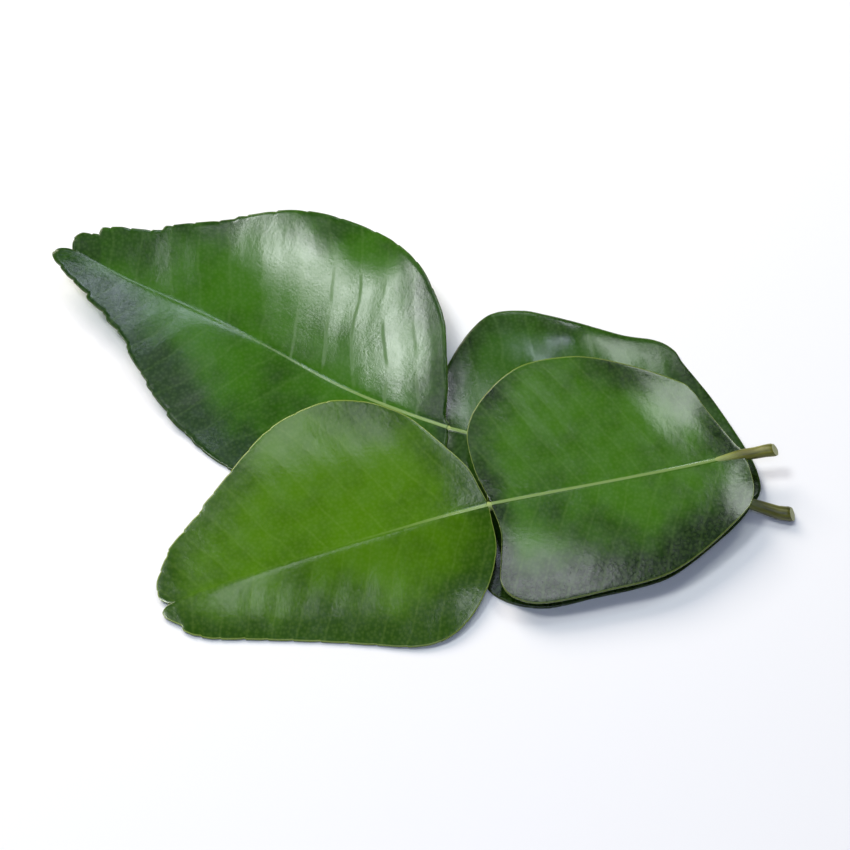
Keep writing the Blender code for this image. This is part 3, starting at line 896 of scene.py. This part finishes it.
def stalk_piece(name, stub, wing, blade, radii, reach, bark):
    """Stalk and rib as one swept piece. The radii are at cut, base, joint and tip."""
    cut, base, joint, tip = radii
    flare = np.linspace(cut, base + (cut - base) * FLARE, len(stub))
    route = [(Vector(point) + Vector((*MOVED, 0)), radius)
             for point, radius in zip(stub, flare)]
    for leaf, first, last in ((wing, base, joint), (blade, joint, tip)):
        end = wing.end if leaf is wing else blade.start + blade.length * reach
        for share in np.linspace(0, 1, 60, endpoint=leaf is blade):
            along = leaf.start + (end - leaf.start) * share
            radius = first + (last - first) * share
            to_joint = end - along if leaf is wing else along - leaf.start
            from_base = along - leaf.start if leaf is wing else SINKING
            sunk = min(from_base / SINKING, 1.0) ** 0.8
            sink = radius * EMERGING * (1 - sunk) + (TISSUE + radius * BURIED) * sunk
            sink -= KNUCKLE_LIFT * math.exp(-(to_joint / KNUCKLE) ** 2)
            point = leaf.place(np.array([along]), np.array([0.0]))
            centre = Vector(point[0]) + Vector((*MOVED, 0))
            centre.z -= TOP_BELOW_SOLID + sink
            route.append((centre, radius))
    curve = bpy.data.curves.new(name + "_path", "CURVE")
    curve.dimensions = "3D"
    spline = curve.splines.new("POLY")
    spline.points.add(len(route) - 1)
    for knot, (centre, radius) in zip(spline.points, route):
        knot.co = (*(centre * MM), 1.0)
        knot.radius = radius
    source = bpy.data.objects.new(name + "_source", curve)
    bpy.context.scene.collection.objects.link(source)
    axis = (Vector(stub[0]) - Vector(stub[1])).normalized()
    mesh = grown(source, stalk_tree, {"Cut axis": tuple(axis), "Bark": bark, "Cut": wood})
    mesh.name = name
    bpy.data.objects.remove(source, do_unlink=True)
    item = bpy.data.objects.new(name, mesh)
    bpy.context.scene.collection.objects.link(item)
    return item


BACK_STUB = ((64.8, -16.2, 1.6), (63.6, -16.1, 1.65), (62.2, -15.9, 1.75), (59.8, -15.2, 2.1))
FRONT_STUB = ((61.8, -6.2, 7.0), (60.9, -6.25, 6.9), (60.0, -6.3, 6.75), (58.4, -6.5, 6.4))
back_stalk = stalk_piece("back_stalk_and_rib", BACK_STUB, BACK_WING, BACK_BLADE,
                         (1.36, 1.0, 0.85, 0.35), 0.9, back_bark)
front_stalk = stalk_piece("front_stalk_and_rib", FRONT_STUB, FRONT_WING, FRONT_BLADE,
                          (1.22, 1.0, 0.85, 0.3), 0.85, front_bark)

# %% [markdown]
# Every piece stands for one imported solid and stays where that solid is.

# %% Hand the pieces to the frame
for piece, node in ((back_stalk, "back_leaf_stalk"), (back_wing, "back_leaf_wing"),
                    (back_blade, "back_leaf_blade"), (front_stalk, "front_leaf_stalk"),
                    (front_wing, "front_leaf_wing"), (front_blade, "front_leaf_blade")):
    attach(piece, "root")
    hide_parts(node)
    low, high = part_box(node)
    corners = [piece.matrix_world @ Vector(corner) for corner in piece.bound_box]
    ends = [[round(corner[axis] / MM, 1) for corner in corners] for axis in range(3)]
    print(node, "solid", [round(value / MM, 1) for value in (*low, *high)],
          "skin", [min(values) for values in ends], [max(values) for values in ends])

# %% [markdown]
# The sprig lies on a matt white surface, which is a single plain sheet, wide
# enough to fill any view.

# %% White surface
surface_mesh = bpy.data.meshes.new("white_surface")
HALF = 1.5
surface_mesh.from_pydata([(-HALF, -HALF, 0), (HALF, -HALF, 0), (HALF, HALF, 0),
                          (-HALF, HALF, 0)], [], [(0, 1, 2, 3)])
surface = bpy.data.objects.new("white_surface", surface_mesh)
bpy.context.scene.collection.objects.link(surface)
paper, paper_tree, paper_shader = new_material("matt white board")
fill(paper_tree, paper_shader, {"Base Color": colour("#f4f4f6"), "Roughness": 0.8})
surface_mesh.materials.append(paper)
print("surface is", 2 * HALF, "m wide")

# %% [markdown]
# A waxy leaf is deep green where it mirrors a dim part of the room, and pale where
# it mirrors a lamp. One big lamp would put a haze over every leaf. So the room is
# dim, and the first six lamps are small soft panels, each placed where the camera
# sees its reflection in one part of a leaf. Most of the light on the surface comes
# from the last two, which no leaf mirrors to the camera.

# %% Soft studio light
def soft_box(name, place, width, height, watts, tint, aim=None):
    """Rectangular soft light that faces straight down, or towards a point."""
    lamp = bpy.data.lights.new(name, "AREA")
    lamp.shape = "RECTANGLE"
    lamp.size = width
    lamp.size_y = height
    lamp.energy = watts
    lamp.color = colour(tint)[:3]
    item = bpy.data.objects.new(name, lamp)
    item.location = place
    if aim:
        ahead = Vector(aim) - Vector(place)
        item.rotation_euler = ahead.to_track_quat("-Z", "Y").to_euler()
    bpy.context.scene.collection.objects.link(item)


soft_box("left_overhead_box", (-0.40, 0.1, 0.9), 0.26, 0.18, 3.6, "#f6fbfa")
soft_box("overhead_strip", (-0.137, 0.017, 0.9), 0.096, 0.125, 0.18, "#f4f8ff")
soft_box("right_window", (0.31, 0.475, 0.9), 0.21, 0.27, 1.95, "#f2fcf6")
soft_box("back_panel", (-0.024, 0.445, 0.9), 0.076, 0.118, 0.36, "#dfeaff")
soft_box("far_panel", (0.09, 0.87, 0.9), 0.1, 0.12, 0.65, "#f0f4ff")
soft_box("middle_panel", (0.035, 0.19, 0.9), 0.1, 0.12, 0.33, "#f4f8ff")
soft_box("front_fill", (0.0, -0.42, 0.85), 0.5, 0.3, 2.1, "#ccd9ff")
soft_box("low_side_box", (-0.45, 0.62, 0.6), 0.5, 0.5, 7.6, "#fff4e6", (0, 0, 0))
world = bpy.data.worlds.new("dim room")
world.use_nodes = True
fill(world.node_tree, world.node_tree.nodes["Background"],
     {"Color": colour("#e0e8ff"), "Strength": 0.09})
bpy.context.scene.world = world
bpy.context.scene.view_settings.view_transform = "Standard"
print("light and room are ready")

# %% [markdown]
# The camera looks down at 60 degrees with a long lens, from straight in front.

# %% Camera
VIEW_DOWN = math.radians(60)
VIEW_FROM = 421.6
AIM = Vector((MOVED[0], MOVED[1], 5.0))
camera_data = bpy.data.cameras.new("camera")
camera_data.lens = 100
camera_data.sensor_width = 36
camera = bpy.data.objects.new("camera", camera_data)
back = Vector((0, -math.cos(VIEW_DOWN), math.sin(VIEW_DOWN)))
camera.location = (AIM + back * VIEW_FROM) * MM
camera.rotation_euler = (math.pi / 2 - VIEW_DOWN, 0, 0)
camera_data.clip_start = 0.01
bpy.context.scene.collection.objects.link(camera)
bpy.context.scene.camera = camera
print("camera stands", VIEW_FROM, "mm away")
